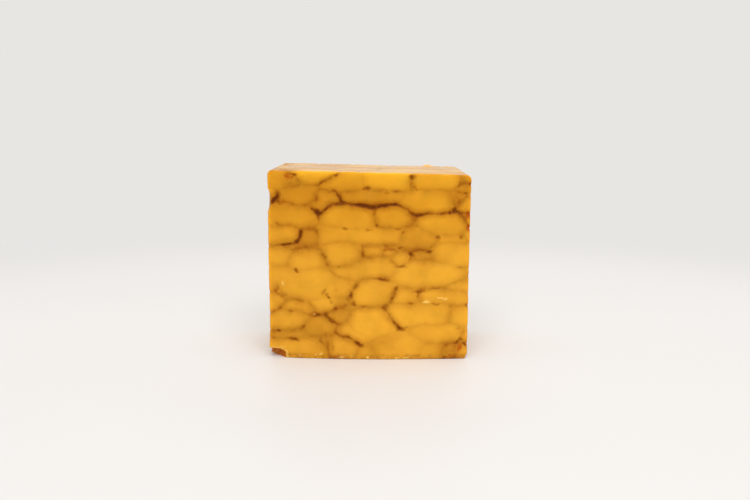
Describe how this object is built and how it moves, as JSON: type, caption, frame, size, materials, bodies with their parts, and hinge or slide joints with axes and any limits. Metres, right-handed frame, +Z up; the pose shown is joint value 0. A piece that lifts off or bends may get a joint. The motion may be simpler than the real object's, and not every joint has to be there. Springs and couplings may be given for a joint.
{
  "type": "cheese block",
  "caption": "Hand-cut block of firm orange cheddar, its pressed curds showing as an uneven mosaic of brown-edged seams on every cut face.",
  "frame": {"origin": "on the supporting surface, under the middle of the block's bounding box", "axes": "+Z up, +X along the widest side, +Y from the front cut face, which shows the curd best, towards the back face"},
  "size_m": [0.0819, 0.0539, 0.0766],
  "materials": {
    "cheddar": "moist, waxy, slightly translucent"
  },
  "bodies": {
    "root": {"cheese_block": "cheddar"}
  },
  "joints": []
}
